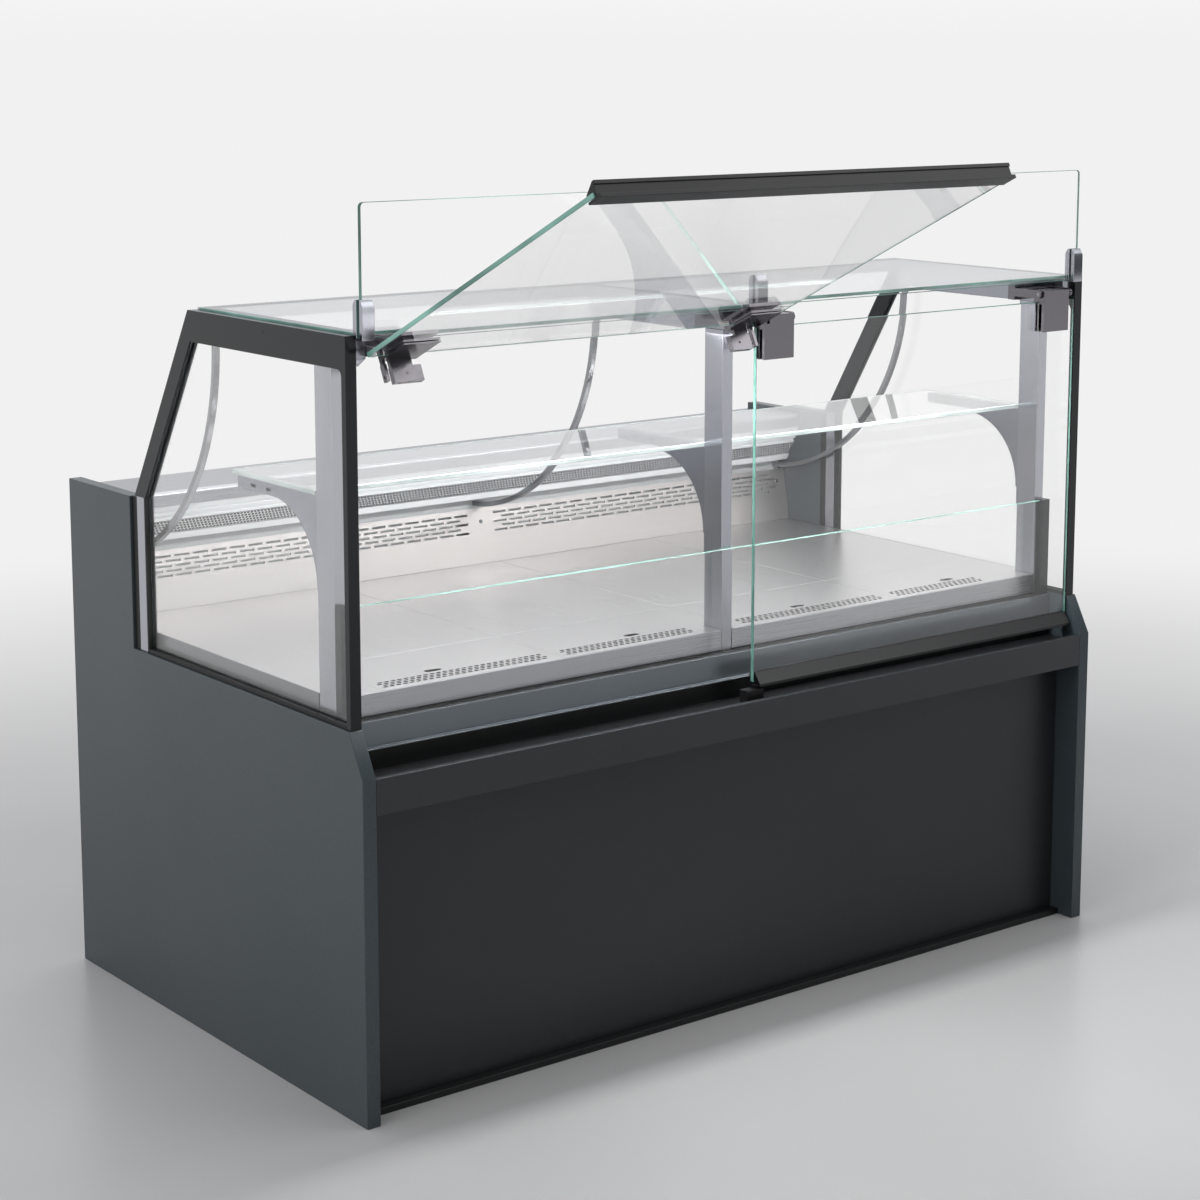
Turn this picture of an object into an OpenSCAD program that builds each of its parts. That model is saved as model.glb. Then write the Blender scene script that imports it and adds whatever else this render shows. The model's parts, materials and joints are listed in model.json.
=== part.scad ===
// Serve-over refrigerated deli case: insulated base with a stainless display
// deck, glass superstructure, and two front panes that swing outwards and up.
// Millimetres, +Z up, front of the case towards -Y, length along X.
// Every sub-part is drawn with Y measured back from the front of the case;
// place() then moves the whole case so that the origin is under its middle.

/* [Case] */
// Overall length over the end panels
case_l = 1720; // [1300:10:2400]
// Overall depth over the end panels
case_d = 1017; // [960:1:1250]
// Thickness of the end panels
panel_t = 26; // [18:1:40]
// Height of the end panels' sill, under the side glass
sill_h = 664; // [600:1:760]
// Height of the raised rear part of the end panels above the sill
raised_h = 284; // [200:1:340]
// Depth of the raised rear part
raised_d = 243; // [200:1:300]
// Depth of the slanted front corner of the end panels
chamfer_d = 39; // [25:1:60]
// Height of the slanted front corner
chamfer_h = 73; // [50:1:100]
// Thickness of folded sheet metal
sheet_t = 2; // [1.5:0.5:3]

/* [Front] */
// Height of the overhanging upper front band
band_h = 62; // [40:1:90]
// Depth of the lower front panel behind the end panels' front edges
panel_set = 58; // [40:1:70]
// Thickness of the lower front panel
front_panel_t = 16; // [12:1:20]
// Height of the plinth strip
plinth_h = 12; // [8:1:20]
// How far the plinth strip stands in front of the lower panel
plinth_out = 21; // [10:1:30]

/* [Deck] */
// Height of the deck's top surface above the sill
deck_up = 36; // [30:1:60]
// Distance of the upright ledge under the panes from the front of the case
ledge_y = 88; // [80:1:96]
// Height of the upright ledge
ledge_h = 46; // [30:1:60]
// Height of the deck's front lip
lip_h = 37; // [25:1:45]
// Width of one standard deck tray
tray_w = 400; // [300:10:500]
// Depth of the front trays
front_tray_d = 206; // [160:1:260]
// Depth of a tray's turned-down rim
tray_rim = 14; // [10:1:20]
// Gap between neighbouring trays
tray_gap = 1; // [0.5:0.5:3]
// Width of the perforated return-air strip
grille_w = 38; // [25:1:50]
// Set-back of the perforated strip behind the lip
grille_set = 18; // [12:1:30]
// Length of a finger hole
finger_l = 34; // [20:1:45]
// Width of a finger hole
finger_w = 14; // [10:1:20]

/* [Columns and arms] */
// Width of the columns, arms and clamps
col_w = 24; // [18:1:34]
// Depth of the columns
col_d = 51; // [40:1:60]
// Distance of the columns from the front of the case
col_y = 113; // [108:1:118]
// Height of the top glass arms
arm_h = 52; // [30:1:60]
// Thickness of the curved rear supports
bar_t = 10; // [6:1:16]
// Width of the curved rear supports
bar_w = 12; // [8:1:20]

/* [Shelf] */
// Height of the glass shelf above the deck
shelf_up = 331; // [250:1:400]
// Depth of the glass shelf
shelf_d = 268; // [220:1:320]
// Thickness of the glass shelf
shelf_t = 8; // [6:1:12]
// Height of the shelf brackets' top bar
bracket_h = 20; // [14:1:30]
// Thickness of the shelf brackets
bracket_t = 20; // [8:1:24]
// Radius of the shelf brackets' hollow curve
bracket_r = 138; // [80:1:160]

/* [Glass superstructure] */
// Height of the side frames' top edge above the sill
frame_up = 641; // [560:1:760]
// Set-back of the side frames from the front of the case
frame_set = 40; // [36:1:50]
// Depth of the side frames' top edge
frame_top_d = 510; // [470:1:540]
// Width of the side frames' front posts
post_w = 14; // [10:1:20]
// Height of the side frames' top bars
top_bar_h = 55; // [40:1:70]
// Width of the side frames' slanted rear members, measured along Y
slant_w = 41; // [30:1:55]
// Thickness of the side frames
frame_t = 21; // [16:1:24]
// Thickness of the side panes
side_glass_t = 6; // [4:1:8]
// Depth of the groove that holds the side panes
groove_d = 5; // [3:1:8]
// Radius of the side opening's upper front corner
corner_r = 12; // [6:1:20]
// Thickness of the top glass
top_glass_t = 6; // [5:1:8]
// Height of the upstand glass above the top glass
upstand_h = 206; // [120:1:260]
// Thickness of the upstand glass
upstand_t = 8; // [6:1:10]
// Height of the upstand clamps above the top glass
clamp_up = 53; // [35:1:70]
// Height of the low riser glass above the deck
riser_up = 152; // [100:1:200]
// Set-back of the riser glass behind the upright ledge
riser_set = 13; // [10:1:16]
// Thickness of the riser glass
riser_t = 6; // [4:1:8]

/* [Front panes] */
// Thickness of the front panes
pane_t = 8; // [6:1:10]
// Gap between the two front panes
pane_gap = 4; // [3:1:8]
// Angle through which a front pane swings open
pane_open = 115.5; // [90:0.5:118]
// Height of the hinge pins above the sill
pin_up = 613; // [590:1:640]
// Distance of the hinge pins from the front of the case
pin_y = 33; // [30:1:36]
// Radius of the hinge pins
pin_r = 4; // [3:0.5:4.5]
// Running clearance of the hinge pins
pin_fit = 0.05; // [0.02:0.01:0.1]
// Width of a pane's hinge clamp
hinge_w = 70; // [50:1:90]
// Height of a pane's hinge clamp
hinge_h = 80; // [60:1:100]
// Height of the handle profile
handle_h = 25; // [20:1:35]

/* [Air and cold] */
// Thickness of the insulated tank's walls
foam_t = 54; // [40:1:60]
// Height of the tank's underside above the floor
tank_up = 280; // [220:1:320]
// Height of the worktop above the sill
worktop_up = 271; // [230:1:300]
// Thickness of the worktop
worktop_t = 28; // [20:1:40]
// Length of an air slot
slot_l = 32; // [20:1:40]
// Width of an air slot
slot_w = 4.5; // [3:0.5:5]
// Pitch of the air slots
slot_pitch = 40; // [36:1:60]
// Number of rows of air slots
slot_rows = 5; // [3:1:6]
// Radius of a fan's blades
fan_r = 92; // [70:1:105]
// Number of blades on a fan
fan_blades_n = 5; // [3:1:7]
// Angle that the light switch rests at, either side of level
rocker_tilt = 8; // [4:1:10]

/* [Hidden] */
$fn = 48;
eps = 0.01;
fit = 0.5;                                   // gap around pieces that drop in
half_l = case_l / 2;
in_x = half_l - panel_t;                     // inner face of an end panel
deck_z = sill_h + deck_up;
frame_z = sill_h + frame_up;
raised_z = sill_h + raised_h;
step_y = case_d - raised_d;                  // front of the raised rear part
band_top = sill_h - chamfer_h - 1;
worktop_z = sill_h + worktop_up;
glass_z = frame_z - 2.5;                     // underside of the top glass
arm_z = glass_z - arm_h;                     // underside of the arms
lip_z = deck_z - lip_h;
lip_y = col_y;                               // the lip is level with the columns' fronts
wall_in = lip_y + 7;                         // inner face of the tank's front wall
wall_out = panel_set + front_panel_t;
ledge_z = sill_h - 4;
back_y = case_d - 102;                       // inner face of the tank's rear wall
floor_z = tank_up + foam_t;
tank_top = sill_h - 24;
channel_z = band_top - 14;                   // underside of the channel behind the band
front_edge = lip_y + 6;                      // front edge of the front trays
tray_split = lip_y + front_tray_d + 6;
back_edge = back_y - 37;                     // foot of the slotted panel
deck_under = deck_z - tray_rim;
duct_top = [back_y - 17, deck_z + 112];
shelf_z = deck_z + shelf_up;                 // underside of the glass shelf
shelf_y = col_y + col_d + 8;
pin_z = sill_h + pin_up;
glass_front = 50;                            // front edge of the top glass
rail_y = frame_set + frame_top_d - 36;       // front of the rear top rail
rail_h = 22;
bar_y = rail_y - 9;                          // top of the rear supports
bar_run = back_y - bar_y;
bar_drop = arm_z - (deck_z + 120);
// one arc joins the two ends; in a case deeper than the drop it is a quarter turn and a straight tail
bar_r = bar_run > bar_drop ? bar_drop : (bar_run * bar_run + bar_drop * bar_drop) / (2 * bar_run);
bar_c = [bar_y + bar_r, arm_z];              // centre of the rear supports' curve
upstand_y = 31;
clamp_front = 22;
riser_y = ledge_y + riser_set;
pane_y = pin_y + 5;                          // outer face of a closed pane
pane_top = pin_z - 16;
handle_z = sill_h - 56;                      // underside of the closed handle
handle_y = [pin_y - 11, pin_y + 17];
gasket_t = 5;
pane_x0 = pane_gap / 2;                      // inner edge of a pane, from the middle
pane_x1 = in_x - 4;                          // outer edge of a pane
hinge_in = col_w / 2;                        // side faces that the hinges bolt to
hinge_out = in_x - col_w;
ear_t = 5.5;
fan_x = [-in_x * 0.6, 0, in_x * 0.6];
fan_z = floor_z + 150;
fan_plate_y = wall_in + 170;
col_xs = [-in_x + col_w / 2, 0, in_x - col_w / 2];

// the farthest point of the opened pane, which fixes the middle of the whole
reach_u = handle_y[1] - pin_y;
reach_v = pin_z - handle_z + gasket_t;
open_reach = -reach_u * cos(pane_open) + reach_v * sin(pane_open);
front_y = pin_y - open_reach;
shift_y = -(case_d + front_y) / 2;

// Y of the slanted rear edge of a side frame at height z
slant_foot = [step_y - 10, raised_z + 2];
slant_top = [frame_set + frame_top_d, frame_z];
function slant_y(z) = slant_top[0]
    + (slant_top[1] - z) * (slant_foot[0] - slant_top[0]) / (slant_top[1] - slant_foot[1]);

// Trays along X: the standard width from the right, the rest on the left
tray_n = floor(2 * in_x / tray_w);
function tray_right(i) = in_x - i * tray_w;
function tray_left(i) = i == tray_n - 1 ? -in_x : in_x - (i + 1) * tray_w;

// ---- helpers ----

// moves the case so that the origin lies under the middle of its box
module place() {
    translate([0, shift_y, 0]) children();
}

// a shape drawn in Y and Z, extruded along X from x0 to x1
module along_x(x0, x1) {
    translate([x0, 0, 0]) rotate([90, 0, 90]) linear_extrude(height = x1 - x0) children();
}

// a box from its two corners
module box(a, b) {
    translate(a) cube(b - a);
}

// a straight strip of sheet between two points, in a 2D drawing
module strip(a, b, t) {
    d = b - a;
    translate(a) rotate(atan2(d[1], d[0])) square([norm(d), t]);
}

// ---- end panels and base ----

module panel_outline() {
    polygon([[0, 0], [0, sill_h - chamfer_h], [chamfer_d, sill_h], [step_y, sill_h],
        [step_y, raised_z], [case_d, raised_z], [case_d, 0]]);
}

module end_panel(side) {
    x0 = side < 0 ? -half_l : in_x;
    color("#3d464e") along_x(x0, x0 + panel_t) panel_outline();
}

post_s = 40;
post_ys = [wall_out + 20, case_d - 130];
post_xs = [-in_x + 60, -post_s / 2, in_x - 60 - post_s];
foot_h = 60;

module base_frame() {
    color("#6f757b") difference() {
        union() {
            for (y = post_ys, x = post_xs) box([x, y, foot_h], [x + post_s, y + post_s, tank_up]);
            for (y = post_ys) box([-in_x + 2, y, tank_up - post_s], [in_x - 2, y + post_s, tank_up]);
            for (x = post_xs) box([x, post_ys[0], foot_h + 20], [x + post_s, post_ys[1] + post_s, foot_h + 50]);
        }
        for (y = post_ys, x = post_xs)
            translate([x + post_s / 2, y + post_s / 2, foot_h - eps]) cylinder(r = 6, h = 30);
    }
}

module levelling_feet() {
    color("#2a2c2e") for (y = post_ys, x = post_xs)
        translate([x + post_s / 2, y + post_s / 2, 0]) {
            cylinder(r = 24, h = 10);
            cylinder(r = 11, h = 24);
            cylinder(r = 5.9, h = foot_h + 20);
        }
}

module plinth_strip() {
    y0 = panel_set - plinth_out;
    color("#15171a") box([-in_x, y0, 0], [in_x, panel_set + front_panel_t, plinth_h]);
}

module front_panel() {
    color("#33393f") box([-in_x, panel_set, plinth_h], [in_x, panel_set + front_panel_t, band_top - 20]);
}

// folded band: front face, top return, bottom return against the lower panel
module fascia_band() {
    z0 = band_top - band_h;
    color("#3a4147") along_x(-in_x, in_x) difference() {
        polygon([[0, z0], [0, band_top], [12, band_top], [12, band_top - 3],
            [3, band_top - 3], [3, z0 + 3], [panel_set, z0 + 3], [panel_set, z0]]);
    }
}

// upright painted ledge behind the closed panes, folded back at its foot
module sill_ledge() {
    color("#47515a") along_x(-in_x, in_x)
        polygon([[ledge_y - 12, ledge_z - ledge_h], [ledge_y - 12, ledge_z - ledge_h + sheet_t],
            [ledge_y, ledge_z - ledge_h + sheet_t], [ledge_y, ledge_z],
            [ledge_y + sheet_t, ledge_z], [ledge_y + sheet_t, ledge_z - ledge_h]]);
}

// dark channel that the closed handles hang into
module rest_channel() {
    t = sheet_t;
    color("#101214") along_x(-in_x, in_x)
        polygon([[3 + fit, channel_z], [ledge_y - 3, channel_z], [ledge_y - 3, ledge_z - ledge_h - fit],
            [ledge_y - 3 - t, ledge_z - ledge_h - fit], [ledge_y - 3 - t, channel_z + t],
            [3 + fit + t, channel_z + t], [3 + fit + t, band_top - 3], [3 + fit, band_top - 3]]);
}

// plastic bar between the painted ledge and the stainless lip; the riser stands in it
module thermal_break() {
    y0 = ledge_y + sheet_t;
    color("#1b1e21") difference() {
        along_x(-in_x, in_x)
            polygon([[y0, tank_top], [y0, ledge_z], [lip_y + sheet_t, ledge_z], [lip_y + sheet_t, deck_under],
                [wall_in, deck_under], [wall_in, tank_top]]);
        box([-in_x - 1, riser_y - 0.2, ledge_z - 5], [in_x + 1, riser_y + riser_t + 0.2, ledge_z + 1]);
        col_notches(ledge_z, deck_z, 1);
    }
}

module col_notches(z0, z1, grow) {
    w = col_w / 2 + grow;
    for (x = col_xs) box([x - w, col_y - grow, z0], [x + w, col_y + col_d + grow, z1]);
}

// stainless nosing along the front of the deck, cut away for the columns
module front_lip() {
    y1 = front_edge - fit;
    color("#d5d8db") difference() {
        along_x(-in_x, in_x)
            polygon([[lip_y, lip_z], [lip_y, deck_z], [y1, deck_z], [y1, deck_z - sheet_t],
                [lip_y + sheet_t, deck_z - sheet_t], [lip_y + sheet_t, lip_z]]);
        col_notches(lip_z - 1, deck_z + 1, 1);
    }
}

// ---- insulated tank and air path ----

drain_x = in_x - 220;
drain_y = wall_in + 90;
drain_r = 16;
pipe_xs = [in_x - 110, in_x - 150];
pipe_y = back_y - 60;

module tank() {
    end_t = 44;
    color("#e4e7e9") difference() {
        along_x(-in_x, in_x)
            polygon([[wall_out, tank_up], [wall_out, channel_z - fit], [ledge_y + sheet_t, channel_z - fit],
                [ledge_y + sheet_t, tank_top], [back_y, tank_top], [back_y, worktop_z - worktop_t],
                [back_y + foam_t, worktop_z - worktop_t], [back_y + foam_t, tank_up]]);
        along_x(-in_x + end_t, in_x - end_t)
            polygon([[wall_in, floor_z], [wall_in, tank_top + 1], [back_y, tank_top + 1], [back_y, floor_z]]);
        translate([drain_x, drain_y, tank_up - 1]) cylinder(r = drain_r + 0.1, h = foam_t + 2);
        for (x = pipe_xs) translate([x, pipe_y, tank_up - 1]) cylinder(r = 10, h = foam_t + 2);
    }
}

module drain_outlet() {
    color("#b9bdc0") translate([drain_x, drain_y, 0]) difference() {
        union() {
            translate([0, 0, tank_up - 60]) cylinder(r = drain_r, h = foam_t + 60);
            translate([0, 0, floor_z]) cylinder(r = drain_r + 12, h = 2);
            translate([0, 0, tank_up - 60]) cylinder(r = drain_r + 5, h = 22);
        }
        translate([0, 0, tank_up - 61]) cylinder(r = drain_r - 3, h = foam_t + 70);
    }
}

module rear_panel() {
    y0 = back_y + foam_t + 26;
    z1 = worktop_z - worktop_t;
    color("#8d949a") difference() {
        box([-in_x, y0, foot_h], [in_x, y0 + 3, z1]);
        for (i = [0:7], z = [120:22:186])
            box([-in_x + 120 + i * 190, y0 - 1, z], [-in_x + 220 + i * 190, y0 + 4, z + 8]);
        box([in_x - 330, y0 - 1, z1 - 90], [in_x - 90, y0 + 4, z1 - 30]);
    }
}

module worktop() {
    y0 = back_y - 75;
    y1 = case_d - 5;
    r = 8;
    color("#c9cdd1") along_x(-in_x, in_x) union() {
        difference() {
            polygon([[y0, worktop_z - worktop_t], [y0, worktop_z], [y1, worktop_z], [y1, worktop_z - worktop_t]]);
            translate([y0, worktop_z - r]) square([r, r]);
        }
        intersection() {
            translate([y0 + r, worktop_z - r]) circle(r = r);
            translate([y0, worktop_z - r]) square([r, r]);
        }
    }
}

// sloping face line of the air outlet, top to bottom
outlet_top = [back_y - 69, worktop_z - worktop_t];
outlet_a = [back_y - 53, worktop_z - 60];
outlet_b = [back_y - 39, worktop_z - 88];
outlet_end = [back_y - 31, worktop_z - 101];

module outlet_cover() {
    groove = 4;
    function face(t) = outlet_top + (outlet_a - outlet_top) * t;
    color("#eceeef") along_x(-in_x, in_x) union() {
        polygon([outlet_top, face(0.34), face(0.34) + [groove, 0], face(0.5) + [groove, 0], face(0.5),
            face(0.68), face(0.68) + [groove, 0], face(0.84) + [groove, 0], face(0.84), outlet_a,
            outlet_a + [22, 0], [back_y, outlet_a[1] + 2], [back_y, outlet_top[1]]]);
        polygon([outlet_b, outlet_end, outlet_end + [3, 0], outlet_b + [24, -2], outlet_b + [22, 0]]);
    }
}

module honeycomb() {
    color("#59636b") along_x(-in_x, in_x)
        polygon([outlet_a, outlet_b, outlet_b + [22, 0], outlet_a + [22, 0]]);
}

duct_foot = [back_edge, deck_z];
duct_d = duct_top - duct_foot;
duct_len = norm(duct_d);
duct_tilt = atan2(duct_d[1], duct_d[0]);
row_pitch = 9.3;
row_top = 10;                               // from the panel's top edge to the first row
plain_half = 32;                            // plain zone either side of the middle

// one row of slots, drawn along X with its own offset
module slot_row(i) {
    off = i % 2 == 0 ? 0 : slot_pitch / 2;
    n = floor((in_x - plain_half - 20 - off) / slot_pitch);
    for (k = [0:n - 1], s = [-1, 1]) {
        x = plain_half + off + k * slot_pitch;
        translate([s < 0 ? -x - slot_l : x, 0]) square([slot_l, slot_w]);
    }
}

// slotted sheet that leans back from the deck to the air outlet
module duct_panel() {
    color("#e6e4e4") translate([0, duct_foot[0], duct_foot[1]]) rotate([duct_tilt, 0, 0]) difference() {
        linear_extrude(height = sheet_t) difference() {
            translate([-in_x, 0]) square([2 * in_x, duct_len]);
            for (i = [0:slot_rows - 1])
                translate([0, duct_len - row_top - slot_w - i * row_pitch]) slot_row(i);
        }
        for (x = [-in_x + 25, 0, in_x - 25])
            translate([x, duct_len - 28, -1]) cylinder(r = 2.1, h = sheet_t + 2);
    }
}

module duct_screws() {
    color("#8f969b") translate([0, duct_foot[0], duct_foot[1]]) rotate([duct_tilt, 0, 0])
        for (x = [-in_x + 25, 0, in_x - 25]) translate([x, duct_len - 28, 0]) {
            translate([0, 0, sheet_t]) cylinder(r1 = 4.5, r2 = 3.5, h = 1.6, $fn = 32);
            translate([0, 0, -6]) cylinder(r = 2, h = 6 + sheet_t);
        }
}

// ---- deck ----

rail_w = 20;

module tray_rails() {
    x1 = in_x - 24;
    color("#b4b9bd") for (y = [tray_split - rail_w / 2, back_edge - 40]) {
        box([-x1, y, deck_under - rail_w], [x1, y + rail_w, deck_under]);
        for (x = [-x1, x1 - rail_w]) box([x, y, tank_top], [x + rail_w, y + rail_w, deck_under - rail_w]);
    }
}

// angle strips along the end panels that carry the trays' ends
module side_linings() {
    y0 = col_y + col_d + 2;
    z0 = tank_top;
    color("#c5cacd") for (s = [0, 1]) mirror([s, 0, 0]) {
        box([in_x - sheet_t, y0, z0], [in_x, back_edge, deck_z]);
        box([in_x - 22, y0, deck_under - sheet_t], [in_x - sheet_t, back_edge, deck_under]);
    }
}

// an upside-down pan
module tray(x0, x1, y0, y1) {
    difference() {
        box([x0, y0, deck_under], [x1, y1, deck_z]);
        box([x0 + sheet_t, y0 + sheet_t, deck_under - 1], [x1 - sheet_t, y1 - sheet_t, deck_z - sheet_t]);
    }
}

grille_y = lip_y + grille_set;
grille_ends = [90, 134];                     // plain lengths at the left and right ends
column_clear = 36;                           // plain zone round a column
function grille_left(i) = tray_left(i) + (i == tray_n - 1 ? grille_ends[0] : 8);
function grille_right(i) = tray_right(i) - (i == 0 ? grille_ends[1] : 8);

// the perforated part of tray i, drawn in by gap all round
module grille_shape(i, gap, z0, z1) {
    difference() {
        box([grille_left(i) + gap, grille_y + gap, z0],
            [grille_right(i) - gap, grille_y + grille_w - gap, z1]);
        col_notches(z0 - 1, z1 + 1, column_clear + gap);
    }
}

module front_trays() {
    color("#dcdedf") for (i = [0:tray_n - 1]) difference() {
        x0 = tray_left(i) + (i == tray_n - 1 ? sheet_t : 0) + tray_gap / 2;
        x1 = tray_right(i) - (i == 0 ? sheet_t : 0) - tray_gap / 2;
        tray(x0, x1, front_edge, tray_split - tray_gap / 2);
        grille_shape(i, 0, deck_under, deck_z + 1);
        translate([(tray_left(i) + tray_right(i)) / 2, grille_y + grille_w + 15, deck_z - 5])
            linear_extrude(height = 10) union() {
                translate([-finger_l / 2 + finger_w / 2, 0]) circle(r = finger_w / 2, $fn = 32);
                translate([finger_l / 2 - finger_w / 2, 0]) circle(r = finger_w / 2, $fn = 32);
                square([finger_l - finger_w, finger_w], center = true);
            }
        col_notches(deck_under - 1, deck_z + 1, 1);
    }
}

module return_grilles() {
    color("#9aa0a4") for (i = [0:tray_n - 1]) grille_shape(i, 0.2, deck_z - sheet_t, deck_z);
}

module rear_trays() {
    color("#d3d5d6") for (i = [0:tray_n - 1])
        tray(tray_left(i) + (i == tray_n - 1 ? sheet_t : 0) + tray_gap / 2,
            tray_right(i) - (i == 0 ? sheet_t : 0) - tray_gap / 2,
            tray_split + tray_gap / 2, back_edge - 1);
}

// ---- evaporator, fans, controls ----

fan_depth = 38;
shaft_r = 4;

module fan_plate() {
    x1 = in_x - 44 - fit;
    color("#c3c8cc") {
        difference() {
            box([-x1, fan_plate_y, floor_z + fit], [x1, fan_plate_y + sheet_t, tank_top + 4]);
            for (x = fan_x) translate([x, fan_plate_y - 1, fan_z]) rotate([-90, 0, 0])
                cylinder(r = fan_r + 6, h = sheet_t + 2);
        }
        for (x = fan_x) translate([x, fan_plate_y + sheet_t, fan_z]) rotate([-90, 0, 0]) difference() {
            cylinder(r = fan_r + 10, h = fan_depth);
            translate([0, 0, -1]) cylinder(r = fan_r + 6, h = fan_depth + 2);
        }
    }
}

// motor with three arms that reach the shroud's end, and its shaft
module fan_motors() {
    y0 = fan_plate_y + sheet_t + fan_depth;
    color("#24272a") for (x = fan_x) translate([x, y0, fan_z]) {
        rotate([-90, 0, 0]) cylinder(r = 32, h = 46);
        rotate([90, 0, 0]) cylinder(r = shaft_r, h = 34);
        for (a = [90, 210, 330]) rotate([0, a, 0]) translate([20, 0, -5]) cube([fan_r - 12, 6, 10]);
    }
}

module fan(i) {
    hub_l = 26;
    y0 = fan_plate_y + sheet_t + 8;
    color("#1d1f21") translate([fan_x[i], y0, fan_z]) rotate([-90, 0, 0]) difference() {
        union() {
            cylinder(r = 24, h = hub_l);
            intersection() {
                cylinder(r = fan_r, h = hub_l);
                for (k = [0:fan_blades_n - 1]) rotate([0, 0, k * 360 / fan_blades_n])
                    translate([18, 0, hub_l / 2]) rotate([32, 0, 0]) translate([0, -21, -1.25])
                        cube([fan_r, 42, 2.5]);
            }
        }
        translate([0, 0, -1]) cylinder(r = shaft_r + pin_fit, h = hub_l + 2);
    }
}

coil_x = in_x - 190;
coil_y = [fan_plate_y + 150, back_y - 130];
coil_z = [floor_z + 50, floor_z + 230];
fin_n = 26;

tube_r = 8;
tube_rows = [for (y = [coil_y[0] + 40, (coil_y[0] + coil_y[1]) / 2, coil_y[1] - 40],
    z = [coil_z[0] + 35, coil_z[0] + 90, coil_z[1] - 35]) [y, z]];

// fins on two rails with short legs
module evaporator_fins() {
    pitch = (2 * coil_x - 1.5) / (fin_n - 1);
    color("#b9bfc4") difference() {
        union() {
            for (i = [0:fin_n - 1]) translate([-coil_x + i * pitch, coil_y[0], coil_z[0]])
                cube([1.5, coil_y[1] - coil_y[0], coil_z[1] - coil_z[0]]);
            for (y = [coil_y[0] + 30, coil_y[1] - 50]) {
                box([-coil_x, y, coil_z[0] - 6], [coil_x, y + 20, coil_z[0]]);
                for (x = [-coil_x, coil_x - 20]) box([x, y, floor_z], [x + 20, y + 20, coil_z[0] - 6]);
            }
        }
        for (p = tube_rows) translate([-coil_x - 1, p[0], p[1]]) rotate([0, 90, 0])
            cylinder(r = tube_r + 0.1, h = 2 * coil_x + 2);
    }
}

module evaporator_tubes() {
    color("#b87333") {
        for (p = tube_rows) translate([-coil_x - 20, p[0], p[1]]) rotate([0, 90, 0])
            cylinder(r = tube_r, h = 2 * coil_x + 40);
        // end boxes stand for the return bends
        for (s = [-1, 1]) box([s < 0 ? -coil_x - 28 : coil_x + 20, coil_y[0] + 26, coil_z[0] + 22],
            [s < 0 ? -coil_x - 20 : coil_x + 28, coil_y[1] - 26, coil_z[1] - 22]);
        // the two refrigerant lines, down through the tank's floor
        for (i = [0, 1]) {
            z = coil_z[0] + 70 + i * 50;
            y = coil_y[1] - 60;
            translate([coil_x + 27, y, z]) rotate([0, 90, 0]) cylinder(r = 7, h = pipe_xs[i] - coil_x - 20);
            translate([pipe_xs[i], y - 7, z]) rotate([-90, 0, 0]) cylinder(r = 7, h = pipe_y - y + 14);
            translate([pipe_xs[i], pipe_y, tank_up - 80]) cylinder(r = 7, h = z + 87 - tank_up);
        }
    }
}

module terminal_box() {
    x0 = in_x - 430;
    y0 = case_d - 230;
    color("#9ea4a8") {
        box([x0, y0, tank_up - 110], [x0 + 200, y0 + 90, tank_up - 1]);
        translate([x0 + 40, y0 + 45, tank_up - 126]) cylinder(r = 11, h = 16);
        translate([x0 + 80, y0 + 45, tank_up - 126]) cylinder(r = 11, h = 16);
    }
}

ctrl_x = [in_x - 330, in_x - 90];
ctrl_z = [worktop_z - worktop_t - 90, worktop_z - worktop_t - 30];
ctrl_y = back_y + foam_t + 26;
rocker_x = in_x - 130;
rocker_z = (ctrl_z[0] + ctrl_z[1]) / 2;
rocker_pin = 2;

// control plate in the rear panel's window, with a display recess and a switch opening
module controller() {
    color("#22262a") difference() {
        union() {
            box([ctrl_x[0] - 6, ctrl_y + 3, ctrl_z[0] - 6], [ctrl_x[1] + 6, ctrl_y + 6, ctrl_z[1] + 6]);
            box([ctrl_x[0] + 2, ctrl_y - 20, ctrl_z[0] + 2], [ctrl_x[1] - 2, ctrl_y + 3, ctrl_z[1] - 2]);
        }
        box([ctrl_x[0] + 30, ctrl_y + 4.5, rocker_z - 14], [ctrl_x[0] + 100, ctrl_y + 7, rocker_z + 14]);
        box([rocker_x - 8, ctrl_y - 12, rocker_z - 15], [rocker_x + 8, ctrl_y + 7, rocker_z + 15]);
        translate([rocker_x - 11.2, ctrl_y, rocker_z]) rotate([0, 90, 0]) cylinder(r = rocker_pin + pin_fit, h = 22.4);
    }
}

// rocker with its pin, resting tipped to one side
module light_switch() {
    color("#3c9a4b") translate([0, ctrl_y, rocker_z]) rotate([-rocker_tilt, 0, 0]) {
        along_x(rocker_x - 7.5, rocker_x + 7.5)
            polygon([[-6, -9], [6, -13], [7.4, -1], [7.4, 1], [6, 13], [-6, 9]]);
        translate([rocker_x - 11, 0, 0]) rotate([0, 90, 0]) cylinder(r = rocker_pin, h = 22);
    }
}

// ---- columns, arms, shelf ----

module columns() {
    z1 = arm_z;
    color("#a9aeb3") for (i = [0:2]) {
        foot = i == 1 ? sill_h - 104 : tank_top;
        along_x(col_xs[i] - col_w / 2, col_xs[i] + col_w / 2)
            polygon([[col_y, ledge_z], [col_y, z1], [col_y + col_d, z1], [col_y + col_d, foot],
                [wall_in, foot], [wall_in, ledge_z]]);
    }
}

module top_arms() {
    color("#9aa0a6") for (x = col_xs) difference() {
        along_x(x - col_w / 2, x + col_w / 2)
            polygon([[glass_front, arm_z + 14], [glass_front, glass_z], [rail_y, glass_z],
                [rail_y, arm_z], [glass_front + 22, arm_z]]);
    }
}

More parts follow.
